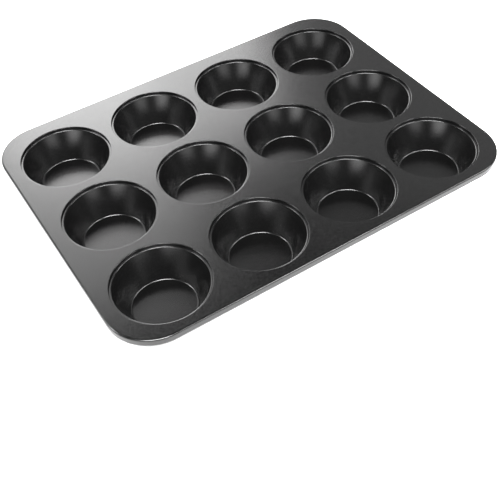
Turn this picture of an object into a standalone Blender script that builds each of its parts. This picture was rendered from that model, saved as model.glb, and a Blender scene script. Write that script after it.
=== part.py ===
"""Muffin tin: a pressed steel top plate, twelve drawn cups locked under it, and a steel rim wire.

The top plate is one sheet with twelve round holes.  The metal around each hole is turned down into
a short collar and hooked outwards.  The mouth of the cup below is folded up and over that hook, so
that plate and cup hold each other in a lock seam.  The outer flange of the plate is turned down and
wrapped inwards around a rim wire.

Origin: on the surface that the tin stands on, under the middle of its outline.
+X runs along the rows of four cups, +Y along the columns of three, +Z up.  All lengths in metres.
"""
import math

import bmesh
import bpy

MM = 0.001

# Driving dimensions
PLATE_LENGTH = 350.0 * MM
PLATE_WIDTH = 267.0 * MM
CORNER_RADIUS = 36.5 * MM     # outline of the plate, seen from above
DECK_TOP = 26.8 * MM          # top of the flat deck above the table
FLANGE_HEIGHT = 7.0 * MM      # deck top to the lowest metal of the outer flange
PLATE_SHEET = 0.5 * MM
CUP_SHEET = 0.35 * MM
WIRE_RADIUS = 1.25 * MM
GAP = 0.2 * MM                # clearance between pieces that touch

COLUMNS = 4
ROWS = 3
PITCH = 84.0 * MM
GRID_SHIFT_Y = -2.8 * MM      # the deck is wider behind the cups than in front of them

COLLAR_RADIUS = 37.7 * MM     # inner face of a collar
FLOOR_RADIUS = 24.9 * MM      # where a cup's wall would meet its floor in a sharp corner
WALL_ANGLE = math.radians(24.2)   # cup wall from the vertical

# Bends, measured on the middle of the sheet
HOLE_BEND = 0.3 * MM
OUTLINE_BEND = 1.2 * MM
CUP_FLOOR_BEND = 1.7 * MM
CUP_MOUTH_BEND = 0.72 * MM

# Lock seam: the folded lip of the cup lies between the deck and the hook of the collar
COLLAR_DEPTH = 2 * PLATE_SHEET + CUP_SHEET + 2 * GAP   # deck top to the underside of the hook
HOOK_RADIUS = 39.7 * MM       # tip of the hook, from the cup's axis
LIP_REACH = 1.1 * MM          # how far the cup's folded lip covers the hook

# Facets
CUP_SEGMENTS = 24
CORNER_SEGMENTS = 7
BEND_SEGMENTS = 2
CURL_SEGMENTS = 7
WIRE_BEVEL_RESOLUTION = 2
MERGE_DISTANCE = 0.01 * MM

CURL_SWEEP = math.radians(235.0)   # how far the flange wraps around the wire
WIRE_BUTT_GAP = 1.0 * MM      # between the two cut ends of the wire


def start_collection(name):
    """Clear the scene's objects and return a new collection for the tin."""
    for old in list(bpy.data.objects):
        bpy.data.objects.remove(old, do_unlink=True)
    collection = bpy.data.collections.new(name)
    bpy.context.scene.collection.children.link(collection)
    return collection


def make_material(name, colour, roughness, metallic):
    material = bpy.data.materials.new(name)
    material.use_nodes = True
    shader = material.node_tree.nodes["Principled BSDF"]
    shader.inputs["Base Color"].default_value = (*colour, 1.0)
    shader.inputs["Roughness"].default_value = roughness
    shader.inputs["Metallic"].default_value = metallic
    return material


def add_object(collection, name, data, material):
    if not data.materials:
        data.materials.append(material)
    piece = bpy.data.objects.new(name, data)
    collection.objects.link(piece)
    return piece


def arc(centre, radius, start, end, segments):
    """Points of an arc in a plane, from one angle to another."""
    points = []
    for step in range(segments + 1):
        angle = start + (end - start) * step / segments
        points.append((centre[0] + radius * math.cos(angle), centre[1] + radius * math.sin(angle)))
    return points


def rounded_corner(before, corner, after, radius, segments):
    """The arc that rounds a corner of a sheet's middle line."""
    def direction(point):
        dx = point[0] - corner[0]
        dy = point[1] - corner[1]
        length = math.hypot(dx, dy)
        return dx / length, dy / length

    ax, ay = direction(before)
    bx, by = direction(after)
    half = math.acos(max(-1.0, min(1.0, ax * bx + ay * by))) / 2
    reach = radius / math.tan(half)
    to_centre = radius / math.sin(half)
    mx, my = ax + bx, ay + by
    length = math.hypot(mx, my)
    centre = (corner[0] + mx / length * to_centre, corner[1] + my / length * to_centre)
    start = math.atan2(corner[1] + ay * reach - centre[1], corner[0] + ax * reach - centre[0])
    end = math.atan2(corner[1] + by * reach - centre[1], corner[0] + bx * reach - centre[0])
    turn = (end - start + math.pi) % (2 * math.pi) - math.pi
    return arc(centre, radius, start, start + turn, segments)


def outline_points(inset):
    """The plate's rounded rectangle, drawn in by the inset, anticlockwise from the right edge."""
    points = []
    for corner in range(4):
        start = corner * math.pi / 2
        middle = start + math.pi / 4
        centre_x = math.copysign(PLATE_LENGTH / 2 - CORNER_RADIUS, math.cos(middle))
        centre_y = math.copysign(PLATE_WIDTH / 2 - CORNER_RADIUS, math.sin(middle))
        points += arc((centre_x, centre_y), CORNER_RADIUS - inset, start, start + math.pi / 2,
                      CORNER_SEGMENTS)
    return points


def cup_centres():
    """Name and centre of each cup, front row first, left to right."""
    for row in range(ROWS):
        for column in range(COLUMNS):
            x = (column - (COLUMNS - 1) / 2) * PITCH
            y = (row - (ROWS - 1) / 2) * PITCH + GRID_SHIFT_Y
            yield f"cup_row{row + 1}_col{column + 1}", x, y


def add_poly_spline(curve, points, height, cyclic):
    spline = curve.splines.new("POLY")
    spline.points.add(len(points) - 1)
    for target, (x, y) in zip(spline.points, points):
        target.co = (x, y, height, 1.0)
    spline.use_cyclic_u = cyclic


def flat_deck_mesh(height, outline_inset, hole_radius):
    """The flat part of the deck: a filled 2D curve with the outline and the twelve holes."""
    curve = bpy.data.curves.new("deck_outline", "CURVE")
    curve.dimensions = "2D"
    curve.fill_mode = "BOTH"
    add_poly_spline(curve, outline_points(outline_inset), 0.0, True)
    full_turn = 2 * math.pi * (CUP_SEGMENTS - 1) / CUP_SEGMENTS
    for _, x, y in cup_centres():
        add_poly_spline(curve, arc((x, y), hole_radius, 0.0, full_turn, CUP_SEGMENTS - 1), 0.0, True)
    guide = bpy.data.objects.new("deck_outline", curve)
    bpy.context.scene.collection.objects.link(guide)
    depsgraph = bpy.context.evaluated_depsgraph_get()
    mesh = bpy.data.meshes.new_from_object(guide.evaluated_get(depsgraph))
    bpy.data.objects.remove(guide, do_unlink=True)
    bpy.data.curves.remove(curve)
    for vertex in mesh.vertices:
        vertex.co.z = height
    return mesh


def extend_edge_loop(sheet, edges, section, place):
    """Draw the sheet's edge on through a section, a list of (across, height) pairs."""
    for across, height in section:
        made = bmesh.ops.extrude_edge_only(sheet, edges=edges)["geom"]
        for vertex in (item for item in made if isinstance(item, bmesh.types.BMVert)):
            vertex.co.x, vertex.co.y = place(vertex.co, across)
            vertex.co.z = height
        edges = [item for item in made if isinstance(item, bmesh.types.BMEdge)]


def place_around(x, y):
    """A rule that puts a point at a given radius from a cup's centre, in its own direction."""
    def place(point, radius):
        dx = point.x - x
        dy = point.y - y
        length = math.hypot(dx, dy)
        return x + dx / length * radius, y + dy / length * radius
    return place


def place_along_outline(point, inset):
    """Put a point at a given inset from the plate's outline, square to it."""
    half_x = PLATE_LENGTH / 2 - CORNER_RADIUS
    half_y = PLATE_WIDTH / 2 - CORNER_RADIUS
    base_x = max(-half_x, min(half_x, point.x))
    base_y = max(-half_y, min(half_y, point.y))
    dx = point.x - base_x
    dy = point.y - base_y
    length = math.hypot(dx, dy)
    reach = CORNER_RADIUS - inset
    return base_x + dx / length * reach, base_y + dy / length * reach


def collar_section():
    """Middle line of a collar and its hook, as (radius, height), from the flat deck onwards."""
    middle = COLLAR_RADIUS + PLATE_SHEET / 2
    hook_height = DECK_TOP - COLLAR_DEPTH + PLATE_SHEET / 2
    centre = (middle + HOLE_BEND, DECK_TOP - PLATE_SHEET / 2 - HOLE_BEND)
    bend = arc(centre, HOLE_BEND, math.pi / 2, math.pi, BEND_SEGMENTS)
    return bend + [(middle, hook_height), (HOOK_RADIUS, hook_height)]


def curl_radius():
    """Radius of the sheet's middle line around the rim wire."""
    return WIRE_RADIUS + GAP + PLATE_SHEET / 2


def wire_centre():
    """Inset from the outline and height of the rim wire's centre."""
    inset = curl_radius() + PLATE_SHEET / 2
    return inset, DECK_TOP - FLANGE_HEIGHT + inset


def flange_section():
    """Middle line of the outer flange, as (inset, height), down and inwards around the wire."""
    sheet_height = DECK_TOP - PLATE_SHEET / 2
    bend_centre = (PLATE_SHEET / 2 + OUTLINE_BEND, sheet_height - OUTLINE_BEND)
    bend = arc(bend_centre, OUTLINE_BEND, math.pi / 2, math.pi, BEND_SEGMENTS)
    curl = arc(wire_centre(), curl_radius(), math.pi, math.pi + CURL_SWEEP, CURL_SEGMENTS)
    return bend + curl


def add_top_plate(collection, material):
    hole = collar_section()
    flange = flange_section()
    mesh = flat_deck_mesh(DECK_TOP - PLATE_SHEET / 2, flange[0][0], hole[0][0])
    sheet = bmesh.new()
    sheet.from_mesh(mesh)
    bmesh.ops.remove_doubles(sheet, verts=sheet.verts, dist=MERGE_DISTANCE)
    free_edges = [edge for edge in sheet.edges if edge.is_boundary]
    outline = list(free_edges)
    for _, x, y in cup_centres():
        around = [edge for edge in free_edges
                  if all(math.hypot(v.co.x - x, v.co.y - y) < HOOK_RADIUS for v in edge.verts)]
        outline = [edge for edge in outline if edge not in around]
        extend_edge_loop(sheet, around, hole[1:], place_around(x, y))
    extend_edge_loop(sheet, outline, flange[1:], place_along_outline)
    bmesh.ops.recalc_face_normals(sheet, faces=sheet.faces)
    sheet.to_mesh(mesh)
    sheet.free()
    mesh.shade_smooth()
    mesh.set_sharp_from_angle(angle=math.radians(40.0))
    plate = add_object(collection, "top_plate", mesh, material)
    thickness = plate.modifiers.new("sheet_thickness", "SOLIDIFY")
    thickness.thickness = PLATE_SHEET
    thickness.offset = 0.0
    thickness.use_even_offset = True
    return plate


def cup_section():
    """Middle line of a cup, as (radius, height), from the floor's centre to the folded lip."""
    half_sheet = CUP_SHEET / 2
    slope = math.tan(WALL_ANGLE)
    seam_height = DECK_TOP - COLLAR_DEPTH - GAP - half_sheet
    lip_height = DECK_TOP - COLLAR_DEPTH + PLATE_SHEET + GAP + half_sheet
    fold_radius = HOOK_RADIUS + GAP + half_sheet

    def wall_radius(height):
        return FLOOR_RADIUS + (height - CUP_SHEET) * slope + half_sheet / math.cos(WALL_ANGLE)

    centre = (0.0, half_sheet)
    floor_corner = (wall_radius(half_sheet), half_sheet)
    mouth = (wall_radius(seam_height), seam_height)
    fold = (fold_radius, seam_height)
    section = [centre]
    section += rounded_corner(centre, floor_corner, mouth, CUP_FLOOR_BEND, BEND_SEGMENTS)
    section += rounded_corner(floor_corner, mouth, fold, CUP_MOUTH_BEND, BEND_SEGMENTS)
    section += [fold, (fold_radius, lip_height), (HOOK_RADIUS - LIP_REACH, lip_height)]
    return section


def add_cups(collection, material):
    points = [(radius, 0.0, height) for radius, height in cup_section()]
    edges = [(index, index + 1) for index in range(len(points) - 1)]
    mesh = bpy.data.meshes.new("cup_section")
    mesh.from_pydata(points, edges, [])
    for name, x, y in cup_centres():
        cup = add_object(collection, name, mesh, material)
        cup.location = (x, y, 0.0)
        turned = cup.modifiers.new("turned_section", "SCREW")
        turned.axis = "Z"
        turned.angle = 2 * math.pi
        turned.steps = CUP_SEGMENTS
        turned.render_steps = CUP_SEGMENTS
        turned.use_merge_vertices = True
        turned.merge_threshold = MERGE_DISTANCE
        turned.use_smooth_shade = True
        thickness = cup.modifiers.new("sheet_thickness", "SOLIDIFY")
        thickness.thickness = CUP_SHEET
        thickness.offset = 0.0
        thickness.use_even_offset = True


def add_rim_wire(collection, material):
    """A round wire inside the curled flange, its two ends butted in the middle of the back edge."""
    inset, height = wire_centre()
    loop = outline_points(inset)
    back_y = PLATE_WIDTH / 2 - inset
    first = next(i for i, (x, y) in enumerate(loop) if x < 0 and y > back_y - MERGE_DISTANCE)
    path = [(-WIRE_BUTT_GAP / 2, back_y)] + loop[first:] + loop[:first] + [(WIRE_BUTT_GAP / 2, back_y)]
    curve = bpy.data.curves.new("rim_wire", "CURVE")
    curve.dimensions = "3D"
    curve.bevel_depth = WIRE_RADIUS
    curve.bevel_resolution = WIRE_BEVEL_RESOLUTION
    curve.use_fill_caps = True
    add_poly_spline(curve, path, height, False)
    add_object(collection, "rim_wire", curve, material)


def main():
    collection = start_collection("muffin_tin")
    coating = make_material("nonstick_coating", (0.030, 0.030, 0.031), 0.42, 0.55)
    wire_steel = make_material("wire_steel", (0.34, 0.34, 0.35), 0.40, 1.0)
    add_top_plate(collection, coating)
    add_cups(collection, coating)
    add_rim_wire(collection, wire_steel)


main()
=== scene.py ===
"""Muffin tin: finished meshes, materials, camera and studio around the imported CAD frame.

All lengths in metres.  +X runs along the rows of four cups, +Y along the columns of three, +Z up.
"""
import math

import bmesh
import bpy
from mathutils import Matrix, Vector


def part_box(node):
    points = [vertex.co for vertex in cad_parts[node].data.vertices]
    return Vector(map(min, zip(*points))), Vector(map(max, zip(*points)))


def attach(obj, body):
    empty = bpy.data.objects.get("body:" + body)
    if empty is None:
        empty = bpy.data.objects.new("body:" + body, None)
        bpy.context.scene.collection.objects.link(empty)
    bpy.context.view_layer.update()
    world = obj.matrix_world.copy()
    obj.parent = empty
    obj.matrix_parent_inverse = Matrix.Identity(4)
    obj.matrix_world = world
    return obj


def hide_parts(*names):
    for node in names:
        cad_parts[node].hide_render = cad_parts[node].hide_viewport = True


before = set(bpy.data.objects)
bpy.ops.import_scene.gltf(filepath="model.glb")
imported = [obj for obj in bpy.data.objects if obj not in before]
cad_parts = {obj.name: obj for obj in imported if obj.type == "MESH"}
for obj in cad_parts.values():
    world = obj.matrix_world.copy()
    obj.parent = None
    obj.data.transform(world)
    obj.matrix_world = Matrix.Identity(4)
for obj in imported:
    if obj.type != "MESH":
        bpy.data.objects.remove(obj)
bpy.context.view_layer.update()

MM = 0.001
COLUMNS = 4
ROWS = 3

# Sheet metal, as in the CAD part
PLATE_SHEET = 0.5 * MM
CUP_SHEET = 0.35 * MM
WIRE_RADIUS = 1.25 * MM
GAP = 0.2 * MM
CORNER_RADIUS = 36.5 * MM
FLANGE_HEIGHT = 7.0 * MM
OUTLINE_BEND = 1.2 * MM
COLLAR_RADIUS = 37.7 * MM
COLLAR_DEPTH = 2 * PLATE_SHEET + CUP_SHEET + 2 * GAP
HOOK_RADIUS = 39.7 * MM
LIP_REACH = 1.1 * MM
FLOOR_RADIUS = 24.9 * MM
WALL_ANGLE = math.radians(24.2)
CURL_SWEEP = math.radians(235.0)
WIRE_BUTT_GAP = 1.0 * MM

# Bends of the finished sheet's middle line
HOLE_BEND = 0.12 * MM
CUP_FLOOR_BEND = 1.7 * MM
CUP_MOUTH_BEND = 0.72 * MM
SEAM_BEND = 0.30 * MM
HOOK_BEND = 0.3 * MM

# Fineness of the finished meshes
AROUND = 96                  # segments around each cup and each hole, a multiple of 8
CORNER_SEGMENTS = 24
BEND_SEGMENTS = 8
CUP_BEND_SEGMENTS = 12
SEAM_BEND_SEGMENTS = 5
NOSE_SEGMENTS = 6            # rounded cut edge of a sheet
CURL_SEGMENTS = 28
WIRE_SIDES = 20
FLOOR_RINGS = (0.25, 0.5, 0.75, 0.9, 0.97)    # extra rings, as shares of a cup's flat floor
WALL_RINGS = (0.03, 0.25, 0.5, 0.75, 0.97)    # and of its straight wall
SUPPORT = 0.4 * MM           # flat ring beside each bend, which keeps the deck's shading flat
FACE_SUPPORT = 0.3 * MM      # the same on the flange's outer face
MERGE_DISTANCE = 0.005 * MM
LEAST_MITRE = 0.5            # caps how far out the point of a sharp corner is moved
HALVINGS = 40                # steps of the search for where a ray meets the outline
SHARP_ANGLE = math.radians(35.0)

# Camera: where it stands from the middle of the cup grid on the deck, and how it is turned
CAMERA_OFFSET = Vector((-0.2654, -0.4703, 0.4696))
CAMERA_HEADING = math.radians(29.64)      # from +Y towards +X
CAMERA_TILT = math.radians(44.75)         # below the horizon
CAMERA_ROLL = math.radians(-4.14)
CAMERA_SENSOR = 36.0                      # mm, as is the lens
CAMERA_LENS = 62.15
CAMERA_SHIFT = (-0.0064, -0.0857)

# Looks
COATING_IOR = 1.52
COAT_DARK = 0.0012           # greys of the coating between its specks
COAT_PALE = 0.0022
RUBBED_GREY = 0.012
RUBBED_DEPTH = 1.2 * MM      # how far below the collar a cup's mouth is rubbed
GRAIN_DEPTH = 0.10 * MM
GRAIN_ROUGHNESS = 0.1        # how far the grain swings the roughness, at full strength
MARK_ROUGHNESS = 0.008       # how far the mottling and the drawing marks swing it
WORLD_LIGHT = 0.01
FLOOR_SIZE = 12.0
STRIP_LAYERS = 4

# How far the lights stand from the grid's middle: those behind the tin and the strips in front of
# it, and the softboxes above and beside it
PANEL_DISTANCE = 1.6
SOFTBOX_DISTANCE = 1.7


# ---------------------------------------------------------------- the frame's main places

low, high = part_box("top_plate")
DECK_TOP = high.z
PLATE_LENGTH = high.x - low.x
PLATE_WIDTH = high.y - low.y


def cup_name(row, column):
    return f"cup_row{row + 1}_col{column + 1}"


def cup_centre(row, column):
    corner_low, corner_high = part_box(cup_name(row, column))
    return (corner_low + corner_high) / 2


FIRST_CUP = cup_centre(0, 0)
LAST_CUP = cup_centre(ROWS - 1, COLUMNS - 1)
PITCH = (LAST_CUP.x - FIRST_CUP.x) / (COLUMNS - 1)
GRID_MIDDLE = Vector(((FIRST_CUP.x + LAST_CUP.x) / 2, (FIRST_CUP.y + LAST_CUP.y) / 2, DECK_TOP))


# ---------------------------------------------------------------- sections of sheet metal

def arc(centre, radius, start, end, segments):
    """Points of an arc, from one angle to another."""
    points = []
    for step in range(segments + 1):
        angle = start + (end - start) * step / segments
        points.append((centre[0] + radius * math.cos(angle), centre[1] + radius * math.sin(angle)))
    return points


def rounded_corner(before, corner, after, radius, segments=BEND_SEGMENTS):
    """The arc that rounds a corner of a sheet's middle line."""
    a = Vector((before[0] - corner[0], before[1] - corner[1])).normalized()
    b = Vector((after[0] - corner[0], after[1] - corner[1])).normalized()
    half = math.acos(max(-1.0, min(1.0, a.dot(b)))) / 2
    reach = radius / math.tan(half)
    centre = Vector(corner) + (a + b).normalized() * (radius / math.sin(half))
    first = Vector(corner) + a * reach - centre
    last = Vector(corner) + b * reach - centre
    start = math.atan2(first.y, first.x)
    turn = (math.atan2(last.y, last.x) - start + math.pi) % (2 * math.pi) - math.pi
    return arc(centre, radius, start, start + turn, segments)


def without_repeats(points):
    """The same points, without any that lies on the one before it."""
    kept = [points[0]]
    for point in points[1:]:
        if math.dist(point, kept[-1]) > MERGE_DISTANCE:
            kept.append(point)
    return kept


def offset_line(points, distance):
    """The line moved sideways, to its left for a positive distance, mitred at its corners."""
    moved = []
    for index, point in enumerate(points):
        before = Vector(points[max(index - 1, 0)])
        here = Vector(point)
        after = Vector(points[min(index + 1, len(points) - 1)])
        one = (here - before) if index else (after - here)
        two = (after - here) if index < len(points) - 1 else (here - before)
        one.normalize()
        two.normalize()
        along = (one + two).normalized()
        side = Vector((-along.y, along.x))
        stretch = 1.0 / max(LEAST_MITRE, along.dot(one))
        moved.append(tuple(here + side * distance * stretch))
    return moved


def sheet_section(middle, thickness):
    """Outline of a sheet around its middle line: along one face, round the end and back."""
    upper = offset_line(middle, thickness / 2)
    lower = offset_line(middle, -thickness / 2)
    end = Vector(middle[-1])
    first = Vector(upper[-1]) - end
    start = math.atan2(first.y, first.x)
    nose = arc(end, thickness / 2, start, start - math.pi, NOSE_SEGMENTS)[1:-1]
    return upper + nose + lower[::-1]


# ---------------------------------------------------------------- mesh helpers

def finished_object(name, mesh, material):
    """A linked object with its material and with smooth shading up to the sharp angle."""
    mesh.materials.clear()
    mesh.materials.append(material)
    mesh.shade_smooth()
    mesh.set_sharp_from_angle(angle=SHARP_ANGLE)
    piece = bpy.data.objects.new(name, mesh)
    bpy.context.scene.collection.objects.link(piece)
    return piece


def revolved_mesh(name, section, wear):
    """A section of (radius, height) that starts and ends on the axis, turned all the way round."""
    vertices = []
    values = []
    rings = []
    for (radius, height), amount in zip(section, wear):
        if radius < MERGE_DISTANCE:
            rings.append([len(vertices)])
            vertices.append((0.0, 0.0, height))
            values.append(amount)
            continue
        ring = []
        for step in range(AROUND):
            angle = 2 * math.pi * step / AROUND
            ring.append(len(vertices))
            vertices.append((radius * math.cos(angle), radius * math.sin(angle), height))
            values.append(amount)
        rings.append(ring)
    faces = []
    for one, two in zip(rings, rings[1:]):
        for step in range(AROUND):
            after = (step + 1) % AROUND
            if len(one) == 1:
                faces.append((one[0], two[step], two[after]))
            elif len(two) == 1:
                faces.append((one[step], two[0], one[after]))
            else:
                faces.append((one[step], two[step], two[after], one[after]))
    mesh = bpy.data.meshes.new(name)
    mesh.from_pydata(vertices, [], faces)
    mesh.attributes.new("wear", "FLOAT", "POINT").data.foreach_set("value", values)
    clean_mesh(mesh)
    return mesh


def clean_mesh(mesh):
    """Merge the points that meet, and turn all the faces outwards."""
    work = bmesh.new()
    work.from_mesh(mesh)
    bmesh.ops.remove_doubles(work, verts=work.verts, dist=MERGE_DISTANCE)
    bmesh.ops.recalc_face_normals(work, faces=work.faces)
    work.to_mesh(mesh)
    work.free()


# ---------------------------------------------------------------- cups

def cup_middle_line():
    """Middle line of a cup's sheet, as (radius, height), from the floor's centre to the lip."""
    half_sheet = CUP_SHEET / 2
    slope = math.tan(WALL_ANGLE)
    seam_height = DECK_TOP - COLLAR_DEPTH - GAP - half_sheet
    lip_height = DECK_TOP - COLLAR_DEPTH + PLATE_SHEET + GAP + half_sheet
    fold_radius = HOOK_RADIUS + GAP + half_sheet

    def wall_radius(height):
        return FLOOR_RADIUS + (height - CUP_SHEET) * slope + half_sheet / math.cos(WALL_ANGLE)

    centre = (0.0, half_sheet)
    floor_corner = (wall_radius(half_sheet), half_sheet)
    mouth = (wall_radius(seam_height), seam_height)
    fold = (fold_radius, seam_height)
    lip_corner = (fold_radius, lip_height)
    lip_end = (HOOK_RADIUS - LIP_REACH, lip_height)
    floor_bend = rounded_corner(centre, floor_corner, mouth, CUP_FLOOR_BEND, CUP_BEND_SEGMENTS)
    mouth_bend = rounded_corner(floor_corner, mouth, fold, CUP_MOUTH_BEND, CUP_BEND_SEGMENTS)
    points = [centre]
    for share in FLOOR_RINGS:
        points.append((floor_bend[0][0] * share, half_sheet))
    points += floor_bend
    for share in WALL_RINGS:
        radius = floor_bend[-1][0] + (mouth_bend[0][0] - floor_bend[-1][0]) * share
        height = floor_bend[-1][1] + (mouth_bend[0][1] - floor_bend[-1][1]) * share
        points.append((radius, height))
    points += mouth_bend
    points += rounded_corner(mouth, fold, lip_corner, SEAM_BEND, SEAM_BEND_SEGMENTS)
    points += rounded_corner(fold, lip_corner, lip_end, SEAM_BEND, SEAM_BEND_SEGMENTS)
    points.append(lip_end)
    return without_repeats(points)


def add_cups(material):
    """Twelve drawn shells, each folded over the hook of its hole and rubbed only at its mouth."""
    section = sheet_section(cup_middle_line(), CUP_SHEET)
    section[0] = (0.0, section[0][1])
    section[-1] = (0.0, section[-1][1])
    rubbed_height = DECK_TOP - COLLAR_DEPTH - RUBBED_DEPTH
    wear = [1.0 if height > rubbed_height else 0.0 for _, height in section]
    for row in range(ROWS):
        for column in range(COLUMNS):
            name = cup_name(row, column)
            centre = cup_centre(row, column)
            cup = finished_object(name + "_formed", revolved_mesh(name, section, wear), material)
            cup.location = (centre.x, centre.y, 0.0)
            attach(cup, "root")
            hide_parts(name)


# ---------------------------------------------------------------- top plate

def hole_section():
    """Middle line around a hole, from the flat ring beside the crease to the tip of the hook."""
    height = DECK_TOP - PLATE_SHEET / 2
    middle = COLLAR_RADIUS + PLATE_SHEET / 2
    bend = arc((middle + HOLE_BEND, height - HOLE_BEND), HOLE_BEND, math.pi / 2, math.pi,
               BEND_SEGMENTS)
    hook_corner = (middle, DECK_TOP - COLLAR_DEPTH + PLATE_SHEET / 2)
    hook_end = (HOOK_RADIUS, hook_corner[1])
    hook = rounded_corner(bend[-1], hook_corner, hook_end, HOOK_BEND)
    section = [(bend[0][0] + SUPPORT, height)] + bend + hook + [hook_end]
    return without_repeats(section)


def curl_radius():
    """Radius of the flange's middle line where it goes around the rim wire."""
    return WIRE_RADIUS + GAP + PLATE_SHEET / 2


def wire_place():
    """Inset from the outline and height of the rim wire's centre."""
    inset = curl_radius() + PLATE_SHEET / 2
    return inset, DECK_TOP - FLANGE_HEIGHT + inset


def flange_section():
    """Middle line of the outer flange, as (inset, height), down and inwards around the wire."""
    height = DECK_TOP - PLATE_SHEET / 2
    centre = (PLATE_SHEET / 2 + OUTLINE_BEND, height - OUTLINE_BEND)
    bend = arc(centre, OUTLINE_BEND, math.pi / 2, math.pi, BEND_SEGMENTS)
    curl = arc(wire_place(), curl_radius(), math.pi, math.pi + CURL_SWEEP, CURL_SEGMENTS)
    middle_height = (bend[-1][1] + curl[0][1]) / 2
    section = [(bend[0][0] + SUPPORT, height)] + bend
    section += [(bend[-1][0], bend[-1][1] - FACE_SUPPORT), (bend[-1][0], middle_height)]
    section += [(bend[-1][0], curl[0][1] + FACE_SUPPORT)] + curl
    return without_repeats(section)


def outline_loop(inset):
    """The plate's rounded rectangle as points, anticlockwise from the right edge."""
    points = []
    for corner in range(4):
        start = corner * math.pi / 2
        middle = start + math.pi / 4
        x = math.copysign(PLATE_LENGTH / 2 - CORNER_RADIUS, math.cos(middle))
        y = math.copysign(PLATE_WIDTH / 2 - CORNER_RADIUS, math.sin(middle))
        points += arc((x, y), CORNER_RADIUS - inset, start, start + math.pi / 2, CORNER_SEGMENTS)
    return points


def inner_base(x, y):
    """The nearest point to (x, y) in the rectangle between the centres of the outline's corners."""
    half_x = PLATE_LENGTH / 2 - CORNER_RADIUS
    half_y = PLATE_WIDTH / 2 - CORNER_RADIUS
    return Vector((max(-half_x, min(half_x, x)), max(-half_y, min(half_y, y))))


def along_outline(x, y, inset):
    """The point at a given inset from the plate's outline, square to it from (x, y)."""
    base = inner_base(x, y)
    out = (Vector((x, y)) - base).normalized()
    return base + out * (CORNER_RADIUS - inset)


def ray_to_outline(x, y, angle, inset):
    """Where a ray from (x, y) meets the outline drawn in by the inset, found by halving."""
    near, far = 0.0, PLATE_LENGTH
    direction = Vector((math.cos(angle), math.sin(angle)))
    for _ in range(HALVINGS):
        reach = (near + far) / 2
        point = Vector((x, y)) + direction * reach
        if (point - inner_base(point.x, point.y)).length < CORNER_RADIUS - inset:
            near = reach
        else:
            far = reach
    return Vector((x, y)) + direction * near


def cell_edge(row, column, inset):
    """Points around one cup's share of the deck, in step with the hole's own points."""
    centre = cup_centre(row, column)
    half = PITCH / 2
    outer_x = {0: -1, COLUMNS - 1: 1}.get(column, 0)
    outer_y = {0: -1, ROWS - 1: 1}.get(row, 0)
    points = []
    for step in range(AROUND):
        angle = 2 * math.pi * step / AROUND
        reach = half / max(abs(math.cos(angle)), abs(math.sin(angle)))
        x = reach * math.cos(angle)
        y = reach * math.sin(angle)
        on_x = outer_x and abs(x - outer_x * half) < MERGE_DISTANCE
        on_y = outer_y and abs(y - outer_y * half) < MERGE_DISTANCE
        point = Vector((centre.x + x, centre.y + y))
        if outer_x and outer_y and (on_x or on_y):
            # a corner of the tin: spread the points evenly between the two straight sides
            side = outer_x * outer_y
            inner_x = centre.x - outer_x * half
            inner_y = centre.y - outer_y * half
            end_one = along_outline(centre.x + outer_x * 2 * half, inner_y, inset)
            end_two = along_outline(inner_x, centre.y + outer_y * 2 * half, inset)
            angle_one = math.atan2(end_one.y - centre.y, end_one.x - centre.x)
            angle_two = math.atan2(end_two.y - centre.y, end_two.x - centre.x)
            square_one = math.atan2(-outer_y, outer_x)
            share = ((angle - square_one) * side) % (2 * math.pi) / math.pi
            sweep = (angle_two - angle_one) * side % (2 * math.pi)
            point = ray_to_outline(centre.x, centre.y, angle_one + side * sweep * share, inset)
        elif on_x:
            point = along_outline(centre.x + outer_x * 2 * half, point.y, inset)
        elif on_y:
            point = along_outline(point.x, centre.y + outer_y * 2 * half, inset)
        points.append(point)
    return points


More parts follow.
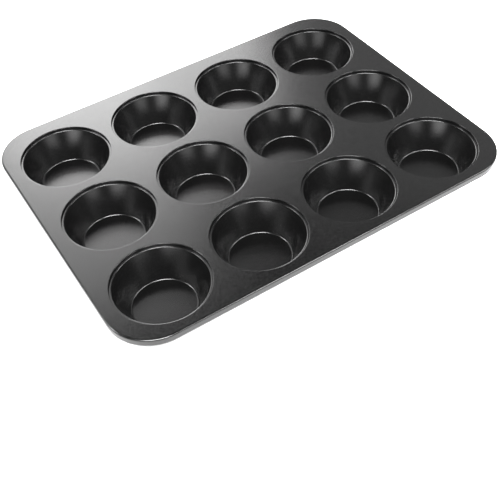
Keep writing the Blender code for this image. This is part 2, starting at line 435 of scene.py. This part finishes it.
def add_top_plate(material):
    """The deck with its holes and flange: one middle surface, given the sheet's thickness."""
    hole = hole_section()
    flange = flange_section()
    work = bmesh.new()
    wear_layer = work.verts.layers.float.new("wear")
    deck_height = hole[0][1]

    def ring_of(points, height, wear):
        ring = []
        for x, y in points:
            vertex = work.verts.new((x, y, height))
            vertex[wear_layer] = wear
            ring.append(vertex)
        return ring

    def bridge(one, two):
        for step in range(len(one)):
            after = (step + 1) % len(one)
            work.faces.new((one[step], two[step], two[after], one[after]))

    for row in range(ROWS):
        for column in range(COLUMNS):
            centre = cup_centre(row, column)
            outer = ring_of(cell_edge(row, column, flange[0][0]), deck_height, 0.0)
            for index, (radius, height) in enumerate(hole):
                circle = arc((centre.x, centre.y), radius, 0.0, 2 * math.pi, AROUND)[:-1]
                rubbed = 1.0 if 1 <= index <= BEND_SEGMENTS / 2 else 0.0
                inner = ring_of(circle, height, rubbed)
                bridge(outer, inner)
                outer = inner
    bmesh.ops.remove_doubles(work, verts=work.verts, dist=MERGE_DISTANCE)
    outline = []
    for edge in work.edges:
        if edge.is_boundary and all(abs(v.co.z - deck_height) < MERGE_DISTANCE for v in edge.verts):
            outline.append(edge)
    for index, (inset, height) in enumerate(flange[1:], start=1):
        made = bmesh.ops.extrude_edge_only(work, edges=outline)["geom"]
        for vertex in made:
            if isinstance(vertex, bmesh.types.BMVert):
                place = along_outline(vertex.co.x, vertex.co.y, inset)
                vertex.co = (place.x, place.y, height)
                vertex[wear_layer] = 1.0 if 1 <= index <= BEND_SEGMENTS else 0.0
        outline = [item for item in made if isinstance(item, bmesh.types.BMEdge)]
    bmesh.ops.recalc_face_normals(work, faces=work.faces)
    mesh = bpy.data.meshes.new("top_plate_middle")
    work.to_mesh(mesh)
    work.free()
    guide = bpy.data.objects.new("top_plate_middle", mesh)
    bpy.context.scene.collection.objects.link(guide)
    thickness = guide.modifiers.new("sheet_thickness", "SOLIDIFY")
    thickness.thickness = PLATE_SHEET
    thickness.offset = 0.0
    thickness.use_even_offset = True
    depsgraph = bpy.context.evaluated_depsgraph_get()
    solid = bpy.data.meshes.new_from_object(guide.evaluated_get(depsgraph))
    bpy.data.objects.remove(guide, do_unlink=True)
    bpy.data.meshes.remove(mesh)
    solid.name = "top_plate_pressed"
    plate = finished_object("top_plate_pressed", solid, material)
    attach(plate, "root")
    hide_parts("top_plate")


# ---------------------------------------------------------------- rim wire

def add_rim_wire(material):
    """A round wire inside the curled flange, its two cut ends butted in the middle of the back."""
    inset, height = wire_place()
    loop = outline_loop(inset)
    back_y = PLATE_WIDTH / 2 - inset
    first = next(i for i, (x, y) in enumerate(loop) if x < 0 and y > back_y - MERGE_DISTANCE)
    path = [(-WIRE_BUTT_GAP / 2, back_y)] + loop[first:] + loop[:first]
    path.append((WIRE_BUTT_GAP / 2, back_y))
    chamfer = 0.25 * WIRE_RADIUS
    rings = []
    work = bmesh.new()

    def add_ring(x, y, along, radius):
        out = Vector((along.y, -along.x, 0.0))
        ring = []
        for step in range(WIRE_SIDES):
            angle = 2 * math.pi * step / WIRE_SIDES
            offset = out * (radius * math.cos(angle))
            place = (x + offset.x, y + offset.y, height + radius * math.sin(angle))
            ring.append(work.verts.new(place))
        rings.append(ring)

    path = [Vector(point) for point in without_repeats(path)]
    for index, here in enumerate(path):
        before = path[max(index - 1, 0)]
        after = path[min(index + 1, len(path) - 1)]
        along = (after - before).normalized()
        if index == 0:
            add_ring(here.x, here.y, along, WIRE_RADIUS - chamfer)
            here = here + along * chamfer
        if index == len(path) - 1:
            inner = here - along * chamfer
            add_ring(inner.x, inner.y, along, WIRE_RADIUS)
            add_ring(here.x, here.y, along, WIRE_RADIUS - chamfer)
        else:
            add_ring(here.x, here.y, along, WIRE_RADIUS)
    for one, two in zip(rings, rings[1:]):
        for step in range(WIRE_SIDES):
            after = (step + 1) % WIRE_SIDES
            work.faces.new((one[step], two[step], two[after], one[after]))
    work.faces.new(rings[0])
    work.faces.new(rings[-1][::-1])
    bmesh.ops.recalc_face_normals(work, faces=work.faces)
    mesh = bpy.data.meshes.new("rim_wire_drawn")
    work.to_mesh(mesh)
    work.free()
    wire = finished_object("rim_wire_drawn", mesh, material)
    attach(wire, "root")
    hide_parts("rim_wire")


# ---------------------------------------------------------------- materials

class NodeSheet:
    """A material's node tree, with short calls for the nodes that this scene uses."""

    def __init__(self, name):
        self.material = bpy.data.materials.new(name)
        self.material.use_nodes = True
        self.tree = self.material.node_tree
        self.shader = self.tree.nodes["Principled BSDF"]

    def put(self, socket, value):
        if isinstance(value, bpy.types.NodeSocket):
            self.tree.links.new(value, socket)
        elif value is not None:
            socket.default_value = value

    def place(self, scale=(1.0, 1.0, 1.0)):
        """Position on the piece, stretched by the scale."""
        source = self.tree.nodes.new("ShaderNodeTexCoord")
        mapping = self.tree.nodes.new("ShaderNodeMapping")
        mapping.inputs["Scale"].default_value = scale
        self.put(mapping.inputs["Vector"], source.outputs["Object"])
        return mapping.outputs["Vector"]

    def noise(self, scale, detail=3.0, roughness=0.55, vector=None):
        node = self.tree.nodes.new("ShaderNodeTexNoise")
        node.inputs["Scale"].default_value = scale
        node.inputs["Detail"].default_value = detail
        node.inputs["Roughness"].default_value = roughness
        self.put(node.inputs["Vector"], vector if vector is not None else self.place())
        return node.outputs["Fac"]

    def between(self, value, low_in, high_in, low_out, high_out):
        node = self.tree.nodes.new("ShaderNodeMapRange")
        node.clamp = True
        self.put(node.inputs["Value"], value)
        node.inputs["From Min"].default_value = low_in
        node.inputs["From Max"].default_value = high_in
        node.inputs["To Min"].default_value = low_out
        node.inputs["To Max"].default_value = high_out
        return node.outputs["Result"]

    def math(self, operation, one, two=None):
        node = self.tree.nodes.new("ShaderNodeMath")
        node.operation = operation
        self.put(node.inputs[0], one)
        self.put(node.inputs[1], two)
        return node.outputs["Value"]

    def vector_math(self, operation, one, two=None):
        node = self.tree.nodes.new("ShaderNodeVectorMath")
        node.operation = operation
        self.put(node.inputs[0], one)
        self.put(node.inputs[1], two)
        return node.outputs["Value"]

    def mix_colour(self, amount, one, two):
        node = self.tree.nodes.new("ShaderNodeMix")
        node.data_type = "RGBA"
        self.put(node.inputs["Factor"], amount)
        self.put(node.inputs["A"], one)
        self.put(node.inputs["B"], two)
        return node.outputs["Result"]

    def attribute(self, name):
        node = self.tree.nodes.new("ShaderNodeAttribute")
        node.attribute_name = name
        return node.outputs["Fac"]

    def bump(self, height, strength, distance, normal=None):
        node = self.tree.nodes.new("ShaderNodeBump")
        node.inputs["Strength"].default_value = strength
        node.inputs["Distance"].default_value = distance
        self.put(node.inputs["Height"], height)
        self.put(node.inputs["Normal"], normal)
        return node.outputs["Normal"]


def grey(value):
    return (value, value, value, 1.0)


def nonstick_material(name, roughness, grain_strength, speckle, drawn):
    """Dark satin non-stick coating: fine orange-peel grain, faint mottling and rubbed edges.

    The speckle is the grey of the palest specks.  A drawn piece also has the faint upright marks
    that the press leaves on its walls.
    """
    sheet = NodeSheet(name)
    grain = sheet.noise(700.0, detail=3.0, roughness=0.7)
    fine_grain = sheet.noise(4200.0, detail=1.0)
    mottle = sheet.noise(26.0, detail=4.0)
    rubbed = sheet.noise(420.0, detail=5.0, roughness=0.7)
    edge = sheet.math("MULTIPLY", sheet.attribute("wear"),
                      sheet.between(rubbed, 0.48, 0.72, 0.0, 1.0))

    coat = sheet.mix_colour(mottle, grey(COAT_DARK), grey(COAT_PALE))
    speckled = sheet.mix_colour(sheet.between(grain, 0.35, 0.75, 0.0, 0.6), coat, grey(speckle))
    worn = sheet.mix_colour(sheet.math("MULTIPLY", edge, 0.5), speckled, grey(RUBBED_GREY))
    sheet.put(sheet.shader.inputs["Base Color"], worn)

    swing = grain_strength * GRAIN_ROUGHNESS
    spread = sheet.between(mottle, 0.3, 0.7, roughness - MARK_ROUGHNESS,
                           roughness + MARK_ROUGHNESS)
    spread = sheet.math("ADD", spread, sheet.between(grain, 0.3, 0.7, -swing, swing))
    if drawn:
        marks = sheet.noise(1.0, detail=4.0, vector=sheet.place((900.0, 900.0, 18.0)))
        spread = sheet.math("ADD", spread, sheet.between(marks, 0.3, 0.7, -MARK_ROUGHNESS,
                                                         MARK_ROUGHNESS))
    spread = sheet.math("SUBTRACT", spread, sheet.math("MULTIPLY", edge, 0.02))
    sheet.put(sheet.shader.inputs["Roughness"], spread)

    height = sheet.math("ADD", sheet.math("MULTIPLY", grain, 0.7),
                        sheet.math("MULTIPLY", fine_grain, 0.3))
    sheet.put(sheet.shader.inputs["Normal"], sheet.bump(height, grain_strength, GRAIN_DEPTH))
    sheet.shader.inputs["Metallic"].default_value = 0.0
    sheet.shader.inputs["IOR"].default_value = COATING_IOR
    return sheet.material


def wire_material():
    """Drawn steel wire: fine lengthwise scratches and a dull, slightly uneven finish."""
    sheet = NodeSheet("drawn_wire_steel")
    scratches = sheet.noise(1.0, detail=3.0, vector=sheet.place((300.0, 300.0, 4000.0)))
    mottle = sheet.noise(70.0, detail=4.0)
    sheet.put(sheet.shader.inputs["Base Color"], sheet.mix_colour(mottle, grey(0.26), grey(0.40)))
    spread = sheet.between(mottle, 0.3, 0.7, 0.34, 0.46)
    spread = sheet.math("ADD", spread, sheet.between(scratches, 0.3, 0.7, -0.05, 0.05))
    sheet.put(sheet.shader.inputs["Roughness"], spread)
    sheet.put(sheet.shader.inputs["Normal"], sheet.bump(scratches, 0.3, 0.03 * MM))
    sheet.shader.inputs["Metallic"].default_value = 1.0
    return sheet.material


def floor_material():
    """Pale floor that glows softly away from the tin, and in front of it to the right.

    The flange's outer face mirrors the floor beside it, so the nearer glow is what lights it.
    """
    sheet = NodeSheet("studio_floor")
    cloud = sheet.noise(3.0, detail=2.0)
    sheet.put(sheet.shader.inputs["Base Color"], sheet.mix_colour(cloud, grey(0.80), grey(0.83)))
    far = sheet.between(sheet.vector_math("LENGTH", sheet.place()), 0.4, 1.2, 0.0, 1.0)
    across = sheet.vector_math("DOT_PRODUCT", sheet.place(), (0.8, -0.6, 0.0))
    near = sheet.between(across, -0.08, 0.22, 0.0, 1.4)
    sheet.put(sheet.shader.inputs["Emission Color"], (1.0, 1.0, 1.0, 1.0))
    sheet.put(sheet.shader.inputs["Emission Strength"], sheet.math("ADD", far, near))
    sheet.shader.inputs["Roughness"].default_value = 0.9
    sheet.shader.inputs["Specular IOR Level"].default_value = 0.2
    return sheet.material


# ---------------------------------------------------------------- studio

def direction_from(azimuth, elevation):
    """Unit vector out from the tin, for degrees from +Y towards +X and degrees above the floor."""
    a = math.radians(azimuth)
    e = math.radians(elevation)
    return Vector((math.sin(a) * math.cos(e), math.cos(a) * math.cos(e), math.sin(e)))


def add_softbox(name, azimuth, elevation, distance, width, height, radiance):
    """A rectangular light aimed at the tin, given by the brightness of its face."""
    light = bpy.data.lights.new(name, "AREA")
    light.shape = "RECTANGLE"
    light.size = width
    light.size_y = height
    light.energy = radiance * math.pi * width * height
    out = direction_from(azimuth, elevation)
    lamp = bpy.data.objects.new(name, light)
    lamp.location = GRID_MIDDLE + out * distance
    lamp.rotation_euler = out.to_track_quat("Z", "Y").to_euler()
    lamp.visible_camera = False
    bpy.context.scene.collection.objects.link(lamp)


def add_soft_strip(name, azimuth, elevation, distance, width, height, radiance):
    """Nested softboxes, brightest in the middle, so that the reflection fades out at its edges."""
    for layer in range(STRIP_LAYERS):
        share = (layer + 1) / STRIP_LAYERS
        add_softbox(f"{name}_{layer + 1}", azimuth, elevation, distance + 0.01 * layer,
                    width * share, height * share, radiance / STRIP_LAYERS)


def add_world():
    """A world that barely lights the tin, and shows as a pale backdrop only to the camera."""
    world = bpy.data.worlds.new("studio")
    world.use_nodes = True
    nodes = world.node_tree.nodes
    links = world.node_tree.links
    background = nodes["Background"]
    background.inputs["Color"].default_value = grey(1.0)
    background.inputs["Strength"].default_value = WORLD_LIGHT
    backdrop = nodes.new("ShaderNodeBackground")
    backdrop.inputs["Color"].default_value = grey(1.0)
    backdrop.inputs["Strength"].default_value = 1.0
    seen = nodes.new("ShaderNodeLightPath")
    choice = nodes.new("ShaderNodeMixShader")
    links.new(seen.outputs["Is Camera Ray"], choice.inputs["Fac"])
    links.new(background.outputs["Background"], choice.inputs[1])
    links.new(backdrop.outputs["Background"], choice.inputs[2])
    links.new(choice.outputs["Shader"], nodes["World Output"].inputs["Surface"])
    bpy.context.scene.world = world


def add_studio():
    bpy.ops.mesh.primitive_plane_add(size=FLOOR_SIZE, location=(0.0, 0.0, 0.0))
    floor = bpy.context.object
    floor.name = "studio_floor"
    floor.data.materials.append(floor_material())
    add_world()
    bpy.context.scene.view_settings.view_transform = "Standard"

    # behind the tin: the sweep from light to dark across the deck, and the glow on the cup floors
    add_softbox("back_panel", 16.5, 20.5, PANEL_DISTANCE, 0.77, 1.15, 7.4)
    add_softbox("back_left_panel", -5.0, 26.0, PANEL_DISTANCE, 1.2, 1.56, 2.9)
    add_softbox("back_high_panel", 10.0, 48.0, PANEL_DISTANCE, 0.40, 0.36, 0.7)
    add_softbox("back_right_fill", 53.0, 33.0, PANEL_DISTANCE, 1.0, 0.80, 0.65)
    # in front and beside: the bright rings at the cups' mouths and floors, and along the front bend
    add_softbox("front_overhead_softbox", -150.0, 53.0, SOFTBOX_DISTANCE, 1.1, 0.50, 46.0)
    add_softbox("front_right_softbox", 150.0, 46.0, SOFTBOX_DISTANCE, 0.50, 0.45, 30.0)
    add_softbox("left_softbox", -62.0, 38.0, SOFTBOX_DISTANCE, 0.5, 0.6, 22.0)
    add_softbox("right_softbox", 120.0, 38.0, SOFTBOX_DISTANCE, 0.5, 0.6, 16.0)
    # low in front: the two soft streaks on each cup's far wall
    add_soft_strip("front_left_strip", 180.0 + 53.0, 9.0, PANEL_DISTANCE, 1.15, 0.50, 6.0)
    add_soft_strip("front_right_strip", 180.0 - 7.0, 9.0, PANEL_DISTANCE, 1.15, 0.50, 3.4)


def add_camera():
    data = bpy.data.cameras.new("camera")
    data.sensor_width = CAMERA_SENSOR
    data.lens = CAMERA_LENS
    data.shift_x, data.shift_y = CAMERA_SHIFT
    data.clip_start = 0.01
    camera = bpy.data.objects.new("camera", data)
    flat = math.cos(CAMERA_TILT)
    forward = Vector((math.sin(CAMERA_HEADING) * flat, math.cos(CAMERA_HEADING) * flat,
                      -math.sin(CAMERA_TILT)))
    level = forward.cross(Vector((0.0, 0.0, 1.0))).normalized()
    upright = level.cross(forward)
    right = level * math.cos(CAMERA_ROLL) + upright * math.sin(CAMERA_ROLL)
    up = right.cross(forward)
    turn = Matrix((right, up, -forward)).transposed()
    camera.matrix_world = Matrix.Translation(GRID_MIDDLE + CAMERA_OFFSET) @ turn.to_4x4()
    bpy.context.scene.collection.objects.link(camera)
    bpy.context.scene.camera = camera


# ---------------------------------------------------------------- everything together

add_camera()
plate_coating = nonstick_material("nonstick_coating_satin", 0.205, 0.40, 0.011, drawn=False)
cup_coating = nonstick_material("nonstick_coating_drawn", 0.24, 0.10, 0.004, drawn=True)
add_top_plate(plate_coating)
add_cups(cup_coating)
add_rim_wire(wire_material())
add_studio()
